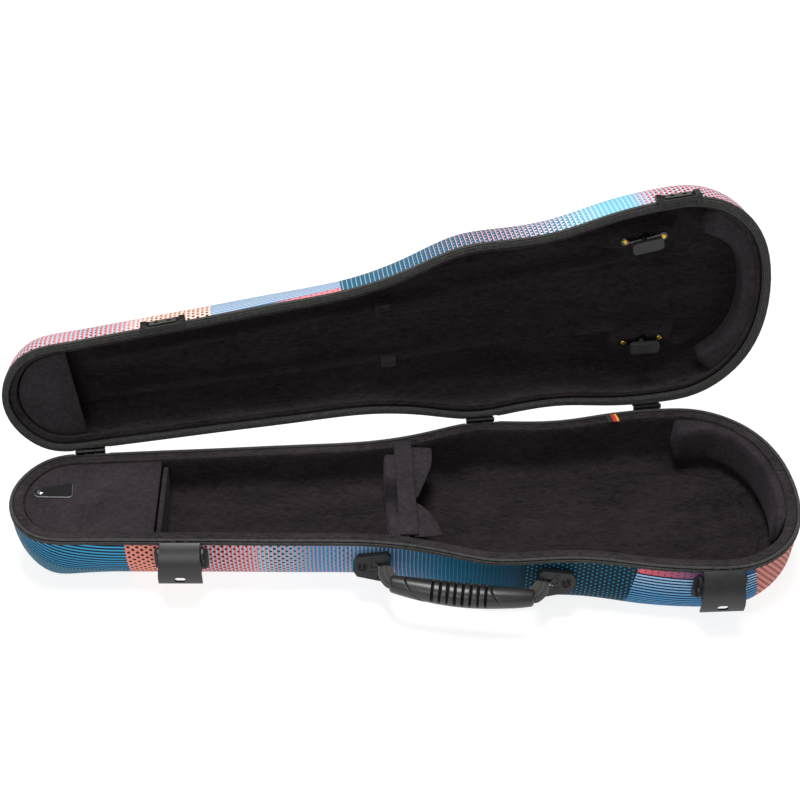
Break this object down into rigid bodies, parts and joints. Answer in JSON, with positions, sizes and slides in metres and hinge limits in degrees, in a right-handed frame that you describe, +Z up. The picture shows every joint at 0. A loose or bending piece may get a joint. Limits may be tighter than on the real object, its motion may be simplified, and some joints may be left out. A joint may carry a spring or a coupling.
{
  "type": "shaped violin case",
  "caption": "Shaped violin case with a hinged lid, plush lining, accessory compartment, neck strap, sprung latches, turning bow holders and a webbing handle.",
  "frame": {"origin": "middle of the flat bottom face, under the middle of the case length", "axes": "+X from the scroll end to the body end, +Y to the hinge side, +Z up from the flat bottom"},
  "size_m": [0.7967, 0.338, 0.3343],
  "materials": {
    "cover": "matte",
    "binding": "matte",
    "plush": "matte",
    "webbing": "matte",
    "tag_weave": "satin",
    "black_plastic": "satin",
    "lever_plastic": "satin",
    "gloss_black": "gloss",
    "grey_plastic": "satin",
    "grip_rubber": "satin",
    "steel": "satin",
    "black_metal": "satin",
    "brass_screw": "satin",
    "chrome_stud": "polished",
    "tab_leather": "satin"
  },
  "bodies": {
    "base": {"base_shell": "cover", "base_rim": "binding", "base_lining": "plush", "base_end_pad": "plush", "compartment_wall": "plush", "neck_cradle": "plush", "cradle_wings": "plush", "loop_tag": "tag_weave", "hinge_leaves_base": "black_metal", "hinge_pins": "steel", "hinge_rivets_base": "black_metal", "latch_bracket_left": "black_plastic", "latch_bracket_right": "black_plastic", "latch_pins": "steel", "latch_springs": "steel", "latch_rivets": "black_metal", "handle_mount_left": "black_plastic", "handle_mount_right": "black_plastic", "handle_rivets": "black_metal", "handle_bars": "steel"},
    "lid": {"lid_shell": "cover", "lid_rim": "binding", "lid_lining": "plush", "lid_end_pad": "plush", "bow_ridges": "plush", "bow_holder_blocks": "plush", "tip_pocket_panel": "plush", "bow_tip_loops": "plush", "hinge_leaves_lid": "black_metal", "hinge_rivets_lid": "black_metal", "strike_frame_left": "black_plastic", "strike_frame_right": "black_plastic", "strike_rivets": "black_metal", "bow_holder_plate_upper": "gloss_black", "bow_holder_plate_lower": "gloss_black", "bow_holder_screws": "brass_screw"},
    "bow_paddle_upper": {"bow_spindle_upper": "grey_plastic", "bow_paddle_upper": "grey_plastic"},
    "bow_paddle_lower": {"bow_spindle_lower": "grey_plastic", "bow_paddle_lower": "grey_plastic"},
    "latch_lever_left": {"latch_lever_left": "lever_plastic"},
    "latch_lever_right": {"latch_lever_right": "lever_plastic"},
    "compartment_lid": {"compartment_lid": "plush", "pull_tab": "tab_leather", "pull_tab_stud": "chrome_stud"},
    "handle": {"handle_grip": "grip_rubber", "handle_strap_left": "webbing", "handle_strap_right": "webbing"},
    "neck_strap": {"neck_strap": "plush"}
  },
  "joints": [
    {"name": "lid_hinge", "type": "hinge", "parent": "base", "child": "lid", "pos_m": [0.08164, 0.10819, 0.0754], "axis": [0.9951, 0.0991, 0], "range_deg": [0, 90]},
    {"name": "compartment_hinge", "type": "hinge", "parent": "base", "child": "compartment_lid", "pos_m": [-0.2485, 0, 0.068], "axis": [0, -1, 0], "range_deg": [-110, 0]},
    {"name": "neck_strap_hinge", "type": "hinge", "parent": "base", "child": "neck_strap", "pos_m": [-0.001, 0.0736, 0.0759], "axis": [1, 0, 0], "range_deg": [-80, 0]},
    {"name": "handle_swing", "type": "hinge", "parent": "base", "child": "handle", "pos_m": [0.05, -0.0972, 0.047], "axis": [0.9848, -0.1736, 0], "range_deg": [-45, 40]},
    {"name": "latch_left_press", "type": "hinge", "parent": "base", "child": "latch_lever_left", "pos_m": [-0.22224, -0.07694, 0.055], "axis": [0.9994, -0.0338, 0], "range_deg": [0, 15], "stiffness_Nm_per_rad": 0.05},
    {"name": "latch_right_press", "type": "hinge", "parent": "base", "child": "latch_lever_right", "pos_m": [0.29209, -0.13157, 0.055], "axis": [0.9999, 0.0135, 0], "range_deg": [0, 15], "stiffness_Nm_per_rad": 0.05},
    {"name": "bow_holder_upper_turn", "type": "hinge", "parent": "lid", "child": "bow_paddle_upper", "pos_m": [0.24419, 0.13685, 0.27289], "axis": [-0.0991, 0.9951, 0], "range_deg": [0, 90]},
    {"name": "bow_holder_lower_turn", "type": "hinge", "parent": "lid", "child": "bow_paddle_lower", "pos_m": [0.25662, 0.13809, 0.14751], "axis": [-0.0991, 0.9951, 0], "range_deg": [0, 90]}
  ]
}
